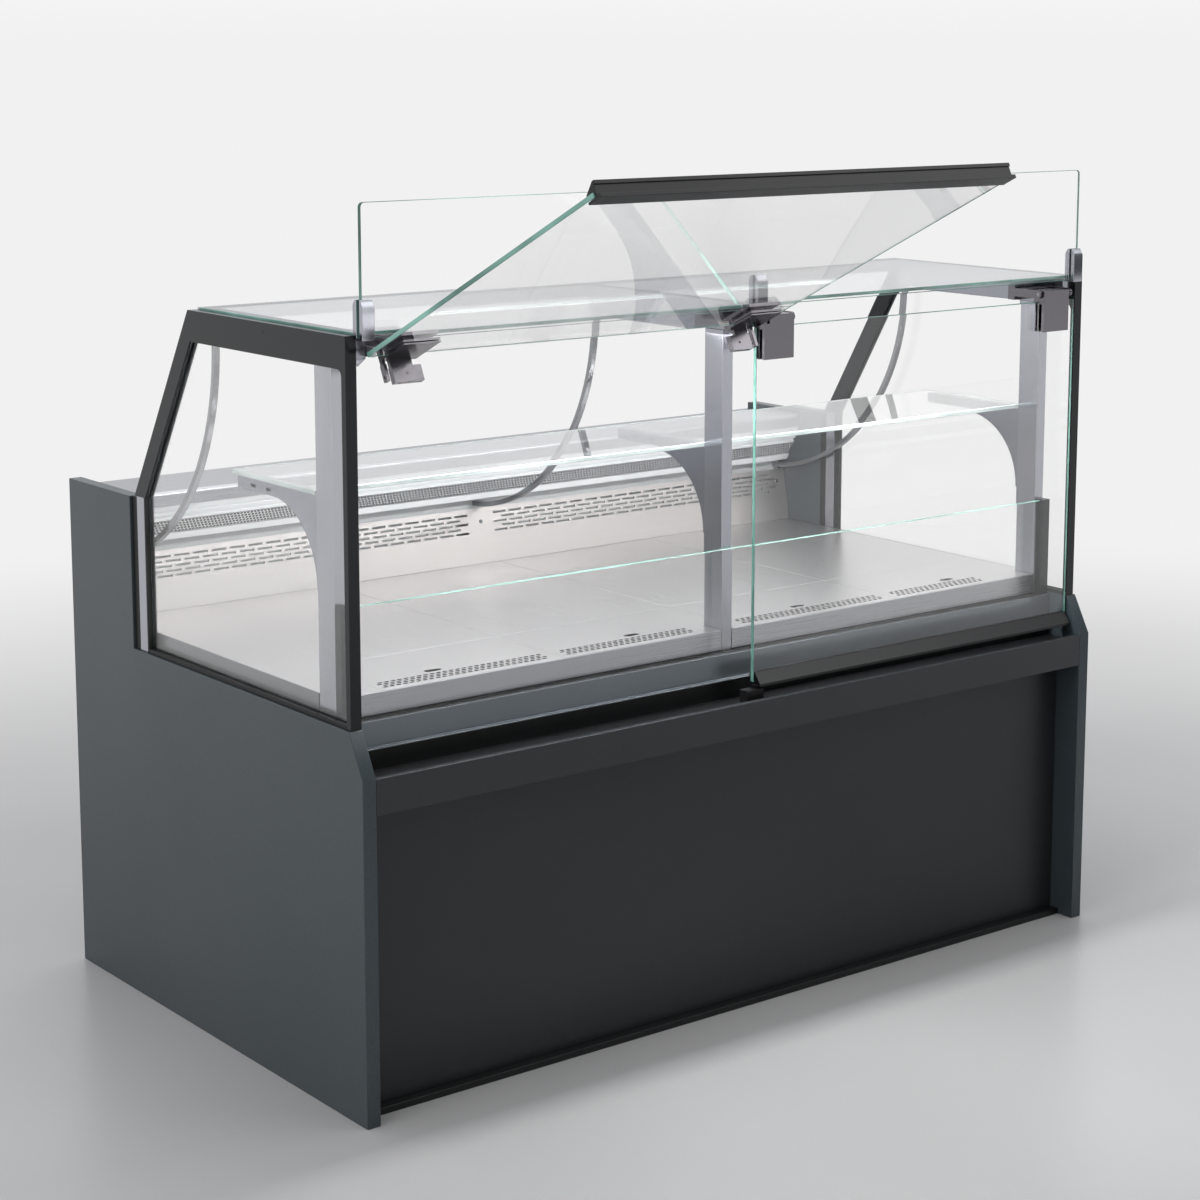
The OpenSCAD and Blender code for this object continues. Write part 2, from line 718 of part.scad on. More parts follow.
module rear_supports() {
    a1 = acos(max(0, bar_c[0] - back_y) / (bar_r - bar_t / 2));
    low = bar_c[1] - bar_r;
    color("#b3b6b8") for (x = col_xs) {
        translate([x, bar_c[0], bar_c[1]]) rotate([90, 0, 90]) rotate([0, 0, 180])
            rotate_extrude(angle = a1, $fn = 128)
                translate([bar_r - bar_t / 2, -bar_w / 2]) square([bar_t, bar_w]);
        if (bar_c[0] < back_y)
            box([x - bar_w / 2, bar_c[0] - eps, low - bar_t / 2], [x + bar_w / 2, back_y, low + bar_t / 2]);
    }
}

module shelf_brackets() {
    y0 = col_y + col_d;
    y1 = shelf_y + shelf_d - 18;
    z1 = shelf_z - 1;
    z0 = z1 - bracket_h;
    color("#9da3a8") for (x = col_xs) difference() {
        along_x(x - bracket_t / 2, x + bracket_t / 2) difference() {
            polygon([[y0, z0 - bracket_r], [y0, z1], [y1, z1], [y1, z0], [y0 + 4 + bracket_r, z0],
                [y0 + 4, z0 - bracket_r]]);
            translate([y0 + 4 + bracket_r, z0 - bracket_r]) circle(r = bracket_r, $fn = 96);
        }
        for (y = [y1 - 60, y1 - 110])
            box([x - bracket_t, y, z0 + 7], [x + bracket_t, y + 16, z0 + 12]);
    }
}

module shelf_glass() {
    color([0.82, 0.9, 0.88, 0.4])
        box([-in_x + 2, shelf_y, shelf_z], [in_x - 2, shelf_y + shelf_d, shelf_z + shelf_t]);
}

module rear_rail() {
    y1 = frame_set + frame_top_d;
    color("#a4a9ae") along_x(-in_x, in_x)
        polygon([[rail_y, glass_z - rail_h], [rail_y, glass_z], [y1 - 8, glass_z], [y1 - 8, glass_z + top_glass_t],
            [y1, glass_z + top_glass_t], [y1, glass_z - rail_h], [y1 - 6, glass_z - rail_h],
            [y1 - 6, glass_z - 4], [rail_y + 4, glass_z - 4], [rail_y + 4, glass_z - rail_h]]);
}

module light_tube() {
    color("#f4f6f2") translate([-in_x + 40, rail_y + 18, glass_z - 14]) rotate([0, 90, 0])
        cylinder(r = 9, h = 2 * in_x - 80);
}

// ---- side frames ----

// outline of a side opening, with insets from the frame's outer edges
module side_outline(front, top, slant, low, rear) {
    y0 = frame_set + front;
    z1 = frame_z - top;
    foot = slant_foot[1];
    polygon([[y0, low], [y0, z1], [slant_y(z1) - slant, z1], [slant_y(foot) - slant, foot],
        [rear, foot], [rear, low]]);
}

// quarter-round fillet in the opening's upper front corner
module opening_corner(grow) {
    translate([frame_set + post_w - grow, frame_z - top_bar_h + grow]) difference() {
        translate([0, -corner_r]) square([corner_r, corner_r]);
        translate([corner_r, -corner_r]) circle(r = corner_r);
    }
}

side_rear = slant_foot[0] - slant_w;         // rear edge of the side glass

module side_frame(side) {
    x0 = side < 0 ? -half_l + panel_t - frame_t : in_x;
    gx = x0 + (frame_t - side_glass_t) / 2 - 0.3;
    color("#2f3539") difference() {
        along_x(x0, x0 + frame_t) difference() {
            side_outline(0, 0, 0, sill_h, slant_foot[0]);
            difference() {
                side_outline(post_w, top_bar_h, slant_w, sill_h - 1, slant_foot[0] + 1);
                opening_corner(0);
            }
            translate([side_rear, sill_h - 1]) square([slant_w + 1, raised_h + 3]);
        }
        along_x(gx, gx + side_glass_t + 0.6) difference() {
            side_outline(post_w - groove_d, top_bar_h - groove_d, slant_w - groove_d, sill_h - 1, side_rear);
        }
    }
}

// aluminium uprights behind the side glass, in front of the raised panel
module side_posts() {
    for (x0 = [-half_l + panel_t - frame_t, in_x]) {
        color("#b8bcc0") box([x0, side_rear + 6, sill_h], [x0 + frame_t, step_y - 18, slant_foot[1]]);
    }
}

// seals round the side glass, and the blocks that the closed handles rest on
module rubber_parts() {
    z0 = channel_z + sheet_t;
    color("#0c0d0e") box([-20, pin_y - 4, z0], [20, pin_y + 17, handle_z - gasket_t - fit]);
    for (x0 = [-half_l + panel_t - frame_t, in_x]) color("#0e1011") {
        box([x0, frame_set + post_w, sill_h], [x0 + frame_t, side_rear, sill_h + 8]);
        box([x0, side_rear + 0.3, sill_h], [x0 + frame_t, side_rear + 6, slant_foot[1]]);
        box([x0, step_y - 18, sill_h], [x0 + frame_t, step_y, slant_foot[1] - 2]);
    }
}

module side_glass(side) {
    x0 = side < 0 ? -half_l + panel_t - frame_t : in_x;
    gx = x0 + (frame_t - side_glass_t) / 2;
    c = groove_d - 1;
    color([0.8, 0.9, 0.88, 0.35]) along_x(gx, gx + side_glass_t)
        side_outline(post_w - c, top_bar_h - c, slant_w - c, sill_h + 8, side_rear - fit);
}

// ---- top glass, upstand, riser ----

module top_glass() {
    color([0.8, 0.9, 0.88, 0.35])
        box([-in_x, glass_front, glass_z], [in_x, frame_set + frame_top_d - 8 - fit, glass_z + top_glass_t]);
}

module upstand_glass() {
    r = 8;
    z0 = glass_z - 2;
    z1 = glass_z + top_glass_t + upstand_h;
    w = in_x - 5;
    color([0.8, 0.9, 0.88, 0.35]) translate([0, upstand_y + upstand_t, 0]) rotate([90, 0, 0])
        linear_extrude(height = upstand_t) union() {
            translate([-w, z0]) square([2 * w, z1 - z0 - r]);
            translate([-w + r, z1 - r - eps]) square([2 * w - 2 * r, r + eps]);
            for (s = [-1, 1]) translate([s * (w - r), z1 - r]) intersection() {
                circle(r = r);
                translate([s < 0 ? -r : 0, 0]) square([r, r]);
            }
        }
}

// slotted blocks on the arms' front ends that hold the upstand
module upstand_clamps() {
    z0 = pin_z + 20;                         // clear of a raised pane's clamps
    z1 = glass_z + top_glass_t + clamp_up;
    slot = 0.2;
    color("#c3c7cb") for (x = col_xs) along_x(x - col_w / 2, x + col_w / 2) difference() {
        polygon([[clamp_front, z0], [clamp_front, z1 - 12], [clamp_front + 7, z1], [glass_front - 6, z1],
            [glass_front, z1 - 9], [glass_front, z0]]);
        translate([upstand_y - slot, glass_z - 2]) square([upstand_t + 2 * slot, z1]);
    }
}

module riser_glass() {
    r = 12;
    z0 = ledge_z - 5;
    z1 = deck_z + riser_up;
    w = in_x - 8;
    color([0.8, 0.9, 0.88, 0.35]) translate([0, riser_y + riser_t, 0]) rotate([90, 0, 0])
        linear_extrude(height = riser_t) union() {
            translate([-w, z0]) square([2 * w, z1 - z0 - r]);
            translate([-w + r, z1 - r - eps]) square([2 * w - 2 * r, r + eps]);
            for (s = [-1, 1]) translate([s * (w - r), z1 - r]) intersection() {
                circle(r = r);
                translate([s < 0 ? -r : 0, 0]) square([r, r]);
            }
        }
}

// grooved strips on the end columns that hold the riser's ends
module riser_holders() {
    y0 = riser_y - 7;
    z1 = deck_z + riser_up + 2;
    color("#6d7378") for (s = [0, 1]) mirror([s, 0, 0]) difference() {
        box([in_x - col_w, y0, ledge_z], [in_x, col_y, z1]);
        box([in_x - col_w - 1, riser_y - 0.2, ledge_z - 1], [in_x - 7.8, riser_y + riser_t + 0.2, z1 + 1]);
    }
}

// ---- hinges and front panes ----

// places a hinge piece, drawn with its arm face at x = 0 and growing along +X
module at_hinge(face, dir) {
    translate([face, 0, 0]) mirror([dir < 0 ? 1 : 0, 0, 0]) children();
}

// clamps stand 4 mm from a pane's inner edge and 34 mm from its outer edge;
// start is measured from the side face of the arm that carries the hinge
start_in = pane_x0 + 4 - hinge_in;
start_out = hinge_out - (pane_x1 - 34);

// the four hinges: [arm face, direction in which the hinge grows, start of the clamp]
left_hinges = [[-hinge_out, 1, start_out], [-hinge_in, -1, start_in]];
right_hinges = [[hinge_in, 1, start_in], [hinge_out, -1, start_out]];
function ear_x(h) = h[2] + hinge_w + 0.5;    // inner face of the far ear

module hinge_brackets() {
    y0 = pin_y + 60;
    color("#8b8587") for (h = concat(left_hinges, right_hinges)) at_hinge(h[0], h[1]) difference() {
        union() {
            box([0, y0, pin_z - 15], [ear_x(h) + ear_t, y0 + 18, glass_z - 1]);
            for (x = [0, ear_x(h)]) {
                box([x, pin_y, pin_z - 8], [x + ear_t, y0 + 1, pin_z + 8]);
                translate([x, pin_y, pin_z]) rotate([0, 90, 0]) cylinder(r = 8, h = ear_t);
            }
        }
        translate([-1, pin_y, pin_z]) rotate([0, 90, 0])
            cylinder(r = pin_r + pin_fit, h = ear_x(h) + ear_t + 2);
    }
}

module hinge_pins() {
    color("#d9dcde") for (h = concat(left_hinges, right_hinges)) at_hinge(h[0], h[1])
        translate([0.5, pin_y, pin_z]) rotate([0, 90, 0]) cylinder(r = pin_r, h = ear_x(h) + ear_t - 1);
}

// turns a pane piece about the hinge pins, from closed (0) outwards
module swing(angle) {
    translate([0, pin_y, pin_z]) rotate([-angle, 0, 0]) translate([0, -pin_y, -pin_z]) children();
}

module pane_glass(side) {
    x0 = side < 0 ? -pane_x1 : pane_x0;
    x1 = side < 0 ? -pane_x0 : pane_x1;
    color([0.78, 0.9, 0.86, 0.3]) box([x0, pane_y, handle_z + 7], [x1, pane_y + pane_t, pane_top]);
}

// clamp on the glass: jaws, pin barrel, and a lug behind. A clamp that starts in front
// of the arm has a slot for the near ear, and a cheek beyond it.
module pane_clamp(start) {
    y0 = pin_y - 12;
    y1 = pin_y + 15;
    z1 = pin_z + 7;
    a = ear_t + 0.5;                         // first place clear of the near ear
    b = start + hinge_w;
    first = min(start, a) - 1;
    lug = max(start, a);
    difference() {
        union() {
            box([start, y0, z1 - hinge_h], [b, y1, z1]);
            if (start > a) translate([a, pin_y, pin_z]) rotate([0, 90, 0]) cylinder(r = 7, h = start - a + 1);
            box([lug + 14, y1 - 1, pin_z], [b - 14, pin_y + 28, pin_z + 7]);
            box([lug + 14, pin_y + 27, pin_z - 2], [b, pin_y + 54, pin_z + 9]);
            box([lug, pin_y + 22, pin_z - 2], [lug + 6, pin_y + 50, pin_z + 9]);
            box([lug, y1 - 1, pin_z], [lug + 6, pin_y + 23, pin_z + 7]);
        }
        translate([first, pin_y, pin_z]) rotate([0, 90, 0]) cylinder(r = pin_r + pin_fit, h = b + 1 - first);
        box([start - 1, pane_y - 0.2, 0], [b + 1, pane_y + pane_t + 0.2, pane_top + 0.5]);
        box([start - 1, y0 + 6, 0], [b + 1, pane_y - 4, pane_top - 3]);
        if (start < a) {
            box([-0.5, y0 - 1, pin_z - 9], [a, y1 + 1, z1 + 1]);
            box([start - 1, y0 - 1, pin_z + 3], [a, y1 + 1, z1 + 1]);
        }
        translate([lug - 1, pin_y + 43, pin_z + 3.5]) rotate([0, 90, 0]) cylinder(r = 2.6, h = 8);
        translate([lug + 40, pin_y + 40, pin_z - 3]) cylinder(r = 2.2, h = 13);
    }
}

module pane_fittings(side) {
    hs = side < 0 ? left_hinges : right_hinges;
    color("#a39a9c") for (h = hs) at_hinge(h[0], h[1]) pane_clamp(h[2]);
}

// handle profile along the pane's lower edge, its front face sloped for the fingers
module handle_section() {
    a = handle_y[0];
    b = handle_y[1];
    difference() {
        polygon([[a, handle_z], [a, handle_z + 5], [a + 14, handle_z + handle_h],
            [b, handle_z + handle_h], [b, handle_z]]);
        translate([pane_y - 0.2, handle_z + 6.5]) square([pane_t + 0.4, handle_h]);
        translate([a + 6, handle_z - 1]) square([b - a - 14, 3.5]);
    }
}

// profile with a black sealing lip underneath
module pane_handle(side) {
    x0 = (side < 0 ? -pane_x1 : pane_x0) + 2;
    x1 = (side < 0 ? -pane_x0 : pane_x1) - 2;
    b = handle_y[1];
    color("#7d8185") along_x(x0, x1) union() {
        handle_section();
        translate([b - 6, handle_z - gasket_t]) square([6, gasket_t]);
    }
}

// ---- what is drawn ----

place() end_panel(-1);  // end_panel_left
place() end_panel(1);  // end_panel_right
place() base_frame();
place() levelling_feet();
place() plinth_strip();
place() fascia_band();
place() front_panel();
place() sill_ledge();
place() rest_channel();
place() thermal_break();
place() front_lip();
place() tank();
place() rear_panel();
place() worktop();
place() outlet_cover();
place() honeycomb();
place() duct_panel();
place() duct_screws();
place() tray_rails();
place() side_linings();
place() front_trays();
place() rear_trays();
place() return_grilles();
place() fan_plate();
place() fan_motors();
place() fan(0);  // fan_left
place() fan(1);  // fan_centre
place() fan(2);  // fan_right
place() evaporator_fins();
place() evaporator_tubes();
place() drain_outlet();
place() terminal_box();
place() controller();
place() light_switch();
place() columns();
place() top_arms();
place() shelf_brackets();
place() rear_supports();
place() rear_rail();
place() light_tube();
place() side_frame(-1);  // side_frame_left
place() side_frame(1);  // side_frame_right
place() side_posts();
place() rubber_parts();
place() side_glass(-1);  // side_glass_left
place() side_glass(1);  // side_glass_right
place() shelf_glass();
place() top_glass();
place() upstand_glass();
place() upstand_clamps();
place() riser_glass();
place() riser_holders();
place() hinge_brackets();
place() hinge_pins();
place() swing(pane_open) pane_glass(-1);  // left_pane_glass
place() swing(pane_open) pane_fittings(-1);  // left_pane_fittings
place() swing(pane_open) pane_handle(-1);  // left_pane_handle
place() pane_glass(1);  // right_pane_glass
place() pane_fittings(1);  // right_pane_fittings
place() pane_handle(1);  // right_pane_handle
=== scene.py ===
import json
import math

import bmesh
import bpy
import numpy as np
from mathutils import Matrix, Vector


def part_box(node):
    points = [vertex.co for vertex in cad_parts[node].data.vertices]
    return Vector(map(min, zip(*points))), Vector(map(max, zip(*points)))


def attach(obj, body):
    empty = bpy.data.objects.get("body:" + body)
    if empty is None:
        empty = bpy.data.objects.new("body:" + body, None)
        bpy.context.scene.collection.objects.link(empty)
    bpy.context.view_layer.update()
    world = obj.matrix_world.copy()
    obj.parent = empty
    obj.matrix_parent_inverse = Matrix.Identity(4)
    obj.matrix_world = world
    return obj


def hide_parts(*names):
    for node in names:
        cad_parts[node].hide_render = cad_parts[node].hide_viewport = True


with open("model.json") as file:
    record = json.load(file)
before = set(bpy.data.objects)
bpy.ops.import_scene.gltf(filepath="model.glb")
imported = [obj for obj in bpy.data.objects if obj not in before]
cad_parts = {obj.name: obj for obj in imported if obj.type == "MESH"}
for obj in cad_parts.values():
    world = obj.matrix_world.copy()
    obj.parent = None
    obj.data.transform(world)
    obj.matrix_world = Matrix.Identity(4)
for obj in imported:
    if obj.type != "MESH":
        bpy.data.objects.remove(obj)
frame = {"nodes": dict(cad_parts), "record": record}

scene = bpy.context.scene
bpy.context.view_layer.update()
nodes = frame["nodes"]
bodyOf = {n: b for b, members in frame["record"]["behaviour"]["bodies"].items() for n in members}
print("frame loaded:", len(nodes), "nodes")

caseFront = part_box("end_panel_left")[0].y  # the panels' front edges, the place all else is told from

cameraSet = {
    "lens": 77.53,  # mm
    "sensor": 36.0,
    "reach": 200.0,  # metres that it sees
    "turn": 37.72,  # degrees to the right of straight at the front
    "tilt": -9.16,
    "shift": -0.12,  # a small rise and fall keeps the uprights nearly parallel
    "place": (-3.010, -3.402, 1.766),  # metres from the middle of the case's front edge
}


def makeCamera(s):
    data = bpy.data.cameras.new("view")
    data.lens = s["lens"]
    data.sensor_width = s["sensor"]
    data.shift_y = s["shift"]
    data.clip_end = s["reach"]
    camera = bpy.data.objects.new("view", data)
    scene.collection.objects.link(camera)
    camera.location = (s["place"][0], s["place"][1] + caseFront, s["place"][2])
    camera.rotation_euler = (math.radians(90 + s["tilt"]), 0.0, -math.radians(s["turn"]))
    scene.camera = camera


def addNode(tree, kind, settings=None, links=None):
    node = tree.nodes.new(kind)
    for key, value in (settings or {}).items():
        if isinstance(key, str) and hasattr(node, key):
            setattr(node, key, value)
        else:
            node.inputs[key].default_value = value
    for key, socket in (links or {}).items():
        tree.links.new(socket, node.inputs[key])
    return node


def fromHex(text):
    c = np.array([int(text[i:i + 2], 16) for i in (1, 3, 5)]) / 255.0
    linear = np.where(c <= 0.04045, c / 12.92, ((c + 0.055) / 1.055) ** 2.4)
    return (*linear.tolist(), 1.0)


def newMaterial(name, settings):
    material = bpy.data.materials.new(name)
    material.use_nodes = True
    tree = material.node_tree
    tree.nodes.clear()
    out = addNode(tree, "ShaderNodeOutputMaterial")
    shader = addNode(tree, "ShaderNodeBsdfPrincipled", settings)
    tree.links.new(shader.outputs["BSDF"], out.inputs["Surface"])
    place = addNode(tree, "ShaderNodeTexCoord").outputs["Object"]
    return material, tree, shader, place


def twoTones(tree, shader, factor, low, high):
    mix = addNode(tree, "ShaderNodeMix", {"data_type": "RGBA", 6: fromHex(low), 7: fromHex(high)},
                  {0: factor})
    tree.links.new(mix.outputs[2], shader.inputs["Base Color"])


# A noise value keeps mostly between 0.3 and 0.7, and this spreads it from low to high.
def between(tree, value, low, high):
    return addNode(tree, "ShaderNodeMapRange", {"From Min": 0.3, "From Max": 0.7, "To Min": low,
                                                "To Max": high}, {"Value": value}).outputs["Result"]


def relief(tree, shader, height, depth, strength):
    bump = addNode(tree, "ShaderNodeBump", {"Strength": strength, "Distance": depth}, {"Height": height})
    tree.links.new(bump.outputs["Normal"], shader.inputs["Normal"])


floorSet = {
    "radius": 40.0,
    "sides": 64,
    "near": "#828283",  # grey lino beside the case
    "far": "#b9b9ba",
    "fade": (1.3, 4.8),  # metres from the case over which the floor runs into the backdrop
    "rough": 0.3,
    "sheen": 0.35,
    "clouds": 0.5,  # patches to the metre
}
backdropSet = {
    "high": "#ffffff",
    "low": "#f1f1f1",
    "rise": (0.0, 0.07),  # sines of the heights between which low turns to high
    "studioUp": "#ffffff",
    "studioFront": "#53565a",
    "studioBack": "#e9eaec",
    "depth": (-0.6, 0.5),  # from front to back
    "top": (0.3, 0.95),  # from the sides to overhead
    "strength": 1.0,
}


# The floor is a flat disc. Its grey changes to the backdrop's own tone with the distance
# from the case, so there is no horizon line.
def makeFloor(s):
    turn = 2 * np.pi * np.arange(s["sides"]) / s["sides"]
    rim = s["radius"] * np.c_[np.cos(turn), np.sin(turn), np.zeros(s["sides"])]
    mesh = bpy.data.meshes.new("floor")
    mesh.from_pydata(rim.tolist(), [], [list(range(s["sides"]))])
    floor = bpy.data.objects.new("floor", mesh)
    scene.collection.objects.link(floor)
    material, tree, shader, place = newMaterial("greyLinoFloor", {"Roughness": s["rough"],
                                                                  "Specular IOR Level": s["sheen"]})
    clouds = addNode(tree, "ShaderNodeTexNoise", {"Scale": s["clouds"], "Detail": 2.0}, {"Vector": place})
    twoTones(tree, shader, clouds.outputs["Fac"], s["near"], s["far"])
    away = addNode(tree, "ShaderNodeVectorMath", {"operation": "LENGTH"}, {0: place}).outputs["Value"]
    fade = addNode(tree, "ShaderNodeMapRange", {"interpolation_type": "SMOOTHSTEP", "From Min": s["fade"][0],
                                                "From Max": s["fade"][1]}, {"Value": away})
    glow = addNode(tree, "ShaderNodeEmission", {"Color": fromHex(backdropSet["low"])})
    mix = addNode(tree, "ShaderNodeMixShader", None, {0: fade.outputs["Result"], 1: shader.outputs["BSDF"],
                                                      2: glow.outputs["Emission"]})
    tree.links.new(mix.outputs["Shader"], tree.nodes["Material Output"].inputs["Surface"])
    mesh.materials.append(material)


# A value that runs from the first of a pair of limits to the second becomes 0 to 1.
def stretch(tree, value, limits):
    return addNode(tree, "ShaderNodeMapRange", {"From Min": limits[0], "From Max": limits[1]},
                   {"Value": value}).outputs["Result"]


# Seen directly or through glass the backdrop is pale; what lights the case and shows in
# the metal is a studio that is bright above and behind, and dim in front.
def makeBackdrop(s):
    world = bpy.data.worlds.new("studio")
    world.use_nodes = True
    tree = world.node_tree
    tree.nodes.clear()
    out = addNode(tree, "ShaderNodeOutputWorld")
    axes = addNode(tree, "ShaderNodeSeparateXYZ", None,
                   {0: addNode(tree, "ShaderNodeTexCoord").outputs["Generated"]})
    rise = stretch(tree, axes.outputs["Z"], s["rise"])
    seen = addNode(tree, "ShaderNodeMix", {"data_type": "RGBA", 6: fromHex(s["low"]), 7: fromHex(s["high"])},
                   {0: rise})
    sides = addNode(tree, "ShaderNodeMix", {"data_type": "RGBA", 6: fromHex(s["studioFront"]),
                                            7: fromHex(s["studioBack"])},
                    {0: stretch(tree, axes.outputs["Y"], s["depth"])})
    lit = addNode(tree, "ShaderNodeMix", {"data_type": "RGBA", 7: fromHex(s["studioUp"])},
                  {0: stretch(tree, axes.outputs["Z"], s["top"]), 6: sides.outputs[2]})
    path = addNode(tree, "ShaderNodeLightPath")
    direct = addNode(tree, "ShaderNodeMath", {"operation": "MAXIMUM"},
                     {0: path.outputs["Is Camera Ray"], 1: path.outputs["Is Transmission Ray"]})
    both = addNode(tree, "ShaderNodeMix", {"data_type": "RGBA"},
                   {0: direct.outputs[0], 6: lit.outputs[2], 7: seen.outputs[2]})
    sky = addNode(tree, "ShaderNodeBackground", {"Strength": s["strength"]}, {"Color": both.outputs[2]})
    tree.links.new(sky.outputs["Background"], out.inputs["Surface"])
    scene.world = world


# Place, aim and size in metres, power in watts. A lamp that isn't mirrored lights the case
# but doesn't show in its glass and metal.
lightSet = {
    "overhead": {"place": (-0.2, 0.2, 4.4), "aim": (-0.1, 0.1, 0.6), "size": (5.6, 4.6),
                 "power": 105.0, "mirrored": True},
    "frontLeft": {"place": (-5.2, -1.2, 2.9), "aim": (-0.6, 0.3, 0.7), "size": (3.0, 3.6),
                  "power": 66.0, "mirrored": False},
    "frontRight": {"place": (3.8, -4.2, 4.6), "aim": (0.3, 0.0, 0.7), "size": (3.6, 2.4),
                   "power": 60.0, "mirrored": True},
    "leftLow": {"place": (-4.2, -0.6, 0.9), "aim": (-0.8, -0.1, 0.6), "size": (0.8, 1.2),
                "power": 7.0, "mirrored": True},
}
deckLampSet = {"long": 1.56, "deep": 0.10, "drop": 0.06, "back": 0.07, "power": 15.0}


def makeLights(lamps):
    for name, s in lamps.items():
        data = bpy.data.lights.new(name, "AREA")
        data.shape = "RECTANGLE"
        data.size, data.size_y = s["size"]
        data.energy = s["power"]
        lamp = bpy.data.objects.new(name, data)
        lamp.visible_glossy = s["mirrored"]
        lamp.location = s["place"]
        lamp.rotation_euler = (Vector(s["aim"]) - Vector(s["place"])).to_track_quat("-Z", "Y").to_euler()
        scene.collection.objects.link(lamp)
    scene.view_settings.view_transform = "Standard"


# Stands in for the strips of light under the top glass: a long hidden lamp that shines
# down on the front of the deck.
def makeDeckLamp(s):
    low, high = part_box("top_glass")
    data = bpy.data.lights.new("deckLamp", "AREA")
    data.shape = "RECTANGLE"
    data.size, data.size_y = s["long"], s["deep"]
    data.energy = s["power"]
    lamp = bpy.data.objects.new("deckLamp", data)
    lamp.location = ((low.x + high.x) / 2, low.y + s["back"], low.z - s["drop"])
    lamp.visible_camera = False
    lamp.visible_transmission = False
    scene.collection.objects.link(lamp)


makeCamera(cameraSet)
makeFloor(floorSet)
makeBackdrop(backdropSet)
makeLights(lightSet)
makeDeckLamp(deckLampSet)
print("camera, floor and lights made")


# Pressed laminate on chipboard: a satin, slightly pearled skin. The real pearl is under
# a millimetre, and is drawn 2.6 mm wide so that it shows.
def pressedLaminate(name, low, high, rough):
    material, tree, shader, place = newMaterial(name, {"Specular IOR Level": 0.45})
    pearl = addNode(tree, "ShaderNodeTexNoise", {"Scale": 1 / 0.0026, "Detail": 3.0, "Roughness": 0.6},
                    {"Vector": place})
    cloud = addNode(tree, "ShaderNodeTexNoise", {"Scale": 3.0, "Detail": 2.0}, {"Vector": place})
    tone = addNode(tree, "ShaderNodeMath", {"operation": "MULTIPLY_ADD", 1: 1.4, 2: -0.2},
                   {0: pearl.outputs["Fac"]})
    twoTones(tree, shader, tone.outputs[0], low, high)
    tree.links.new(between(tree, cloud.outputs["Fac"], rough - 0.04, rough + 0.05),
                   shader.inputs["Roughness"])
    relief(tree, shader, pearl.outputs["Fac"], 0.0006, 0.35)
    return material


# Powder coat: baked polyester with the faint orange peel that it dries with, 1.8 mm across.
def powderCoat(name, low, high, rough, metallic=0.0):
    material, tree, shader, place = newMaterial(name, {"Specular IOR Level": 0.35, "Metallic": metallic})
    peel = addNode(tree, "ShaderNodeTexNoise", {"Scale": 1 / 0.0018, "Detail": 1.0}, {"Vector": place})
    dust = addNode(tree, "ShaderNodeTexNoise", {"Scale": 2.5, "Detail": 2.0}, {"Vector": place})
    twoTones(tree, shader, dust.outputs["Fac"], low, high)
    tree.links.new(between(tree, dust.outputs["Fac"], rough - 0.02, rough + 0.03),
                   shader.inputs["Roughness"])
    relief(tree, shader, peel.outputs["Fac"], 0.0002, 0.3)
    return material


# Rolled and belt-brushed metal: long scratches one way, so highlights smear across them.
# A real scratch is 0.05 mm wide; these are 0.7 mm so that they show. grain gives the
# spacing of the pattern in metres along X, Y and Z.
def brushedMetal(name, low, high, rough, grain):
    material, tree, shader, place = newMaterial(name, {"Metallic": 1.0})
    spread = addNode(tree, "ShaderNodeMapping", {"Scale": tuple(1 / g for g in grain)}, {"Vector": place})
    scratch = addNode(tree, "ShaderNodeTexNoise", {"Scale": 1.0, "Detail": 5.0, "Roughness": 0.65},
                      {"Vector": spread.outputs["Vector"]})
    smear = addNode(tree, "ShaderNodeTexNoise", {"Scale": 2.0, "Detail": 2.0}, {"Vector": place})
    twoTones(tree, shader, scratch.outputs["Fac"], low, high)
    worn = addNode(tree, "ShaderNodeMath", {"operation": "MULTIPLY_ADD", 1: 0.3}, {0: smear.outputs["Fac"],
                                                                                 2: scratch.outputs["Fac"]})
    tree.links.new(between(tree, worn.outputs[0], rough - 0.06, rough + 0.1),
                   shader.inputs["Roughness"])
    relief(tree, shader, scratch.outputs["Fac"], 0.0001, 0.08)
    return material


# Anodised aluminium extrusion: etched to a fine even satin, 1 mm grain as drawn here, with
# only a slow change of tone along its length.
def anodised(name, low, high, rough):
    material, tree, shader, place = newMaterial(name, {"Metallic": 1.0})
    etch = addNode(tree, "ShaderNodeTexNoise", {"Scale": 1 / 0.001, "Detail": 2.0}, {"Vector": place})
    bath = addNode(tree, "ShaderNodeTexNoise", {"Scale": 2.0, "Detail": 1.0}, {"Vector": place})
    twoTones(tree, shader, bath.outputs["Fac"], low, high)
    tree.links.new(between(tree, bath.outputs["Fac"], rough - 0.02, rough + 0.03),
                   shader.inputs["Roughness"])
    relief(tree, shader, etch.outputs["Fac"], 0.0001, 0.1)
    return material


# Hot-dip galvanised steel: a dull zinc skin in crystal patches some 12 mm across.
def galvanisedSteel(name, low, high, rough):
    material, tree, shader, place = newMaterial(name, {"Metallic": 0.85})
    spangle = addNode(tree, "ShaderNodeTexVoronoi", {"Scale": 1 / 0.012}, {"Vector": place})
    grey = addNode(tree, "ShaderNodeRGBToBW", None, {"Color": spangle.outputs["Color"]})
    twoTones(tree, shader, grey.outputs[0], low, high)
    tree.links.new(between(tree, grey.outputs[0], rough - 0.08, rough + 0.1),
                   shader.inputs["Roughness"])
    return material


